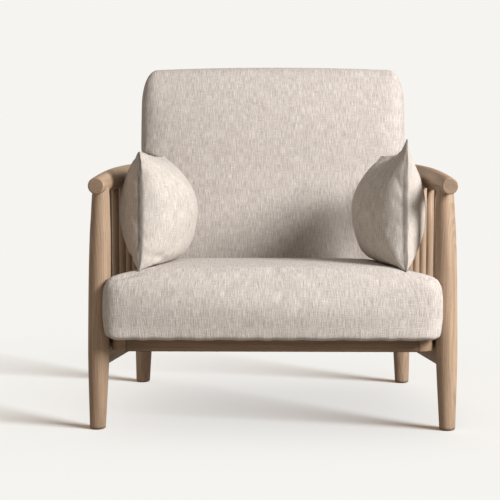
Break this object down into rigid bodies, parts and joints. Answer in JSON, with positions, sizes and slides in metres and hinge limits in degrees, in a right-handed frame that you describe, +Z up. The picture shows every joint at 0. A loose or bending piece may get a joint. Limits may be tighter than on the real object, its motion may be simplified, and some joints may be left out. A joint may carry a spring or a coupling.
{
  "type": "armchair",
  "caption": "Wood-framed armchair with turned legs, round arms on spindles, an upholstered seat and back, and loose scatter cushions.",
  "frame": {"origin": "middle of the chair's box at floor level", "axes": "+Z up, -Y is the way the chair faces, +X is to the right of a viewer who stands in front of it"},
  "size_m": [0.8152, 0.7526, 0.8149],
  "materials": {
    "oak": "brushed, matt oiled oak in a weathered mid brown",
    "oak_shade": "the same oak, a shade darker, on the seat frame",
    "pine": "planed, unfinished pine",
    "linen": "warm beige linen weave with upright slubs",
    "linen_cushion": "the same linen on the loose cushions",
    "webbing": "woven elastic upholstery webbing",
    "bottom_cloth": "thin black non-woven cloth",
    "steel": "zinc-plated steel",
    "felt": "dark brown felt"
  },
  "bodies": {
    "chair": {"arm_left": "oak", "arm_right": "oak", "back_bolt_1": "steel", "back_bolt_2": "steel", "back_bolt_3": "steel", "back_bolt_4": "steel", "back_lower_rail": "pine", "back_middle_rail": "pine", "back_outer_panel": "linen", "back_pad": "linen", "back_post_left": "pine", "back_post_right": "pine", "back_top_rail": "pine", "back_webbing": "webbing", "front_glide_left": "felt", "front_glide_right": "felt", "front_leg_left": "oak", "front_leg_right": "oak", "rear_glide_left": "felt", "rear_glide_right": "felt", "rear_leg_left": "oak", "rear_leg_right": "oak", "seat_bolt_left_1": "steel", "seat_bolt_left_2": "steel", "seat_bolt_right_1": "steel", "seat_bolt_right_2": "steel", "seat_bottom_cloth": "bottom_cloth", "seat_corner_block_left": "oak_shade", "seat_corner_block_right": "oak_shade", "seat_corner_brace_left": "pine", "seat_corner_brace_right": "pine", "seat_front_rail": "oak_shade", "seat_pad": "linen", "seat_rear_rail": "oak_shade", "seat_side_member_left": "oak_shade", "seat_side_member_right": "oak_shade", "seat_spacer_left_1": "steel", "seat_spacer_left_2": "steel", "seat_spacer_right_1": "steel", "seat_spacer_right_2": "steel", "seat_webbing": "webbing", "side_rail_left": "oak", "side_rail_right": "oak", "spindle_left_1": "oak", "spindle_left_2": "oak", "spindle_left_3": "oak", "spindle_left_4": "oak", "spindle_left_5": "oak", "spindle_left_6": "oak", "spindle_right_1": "oak", "spindle_right_2": "oak", "spindle_right_3": "oak", "spindle_right_4": "oak", "spindle_right_5": "oak", "spindle_right_6": "oak"},
    "cushion_left": {"scatter_cushion_left": "linen_cushion"},
    "cushion_right": {"scatter_cushion_right": "linen_cushion"}
  },
  "joints": [
    {"name": "cushion_left_lift", "type": "slide", "parent": "chair", "child": "cushion_left", "axis": [0.25, 0, 0.9682], "range_m": [0, 0.45]},
    {"name": "cushion_right_lift", "type": "slide", "parent": "chair", "child": "cushion_right", "axis": [-0.25, 0, 0.9682], "range_m": [0, 0.45]}
  ]
}
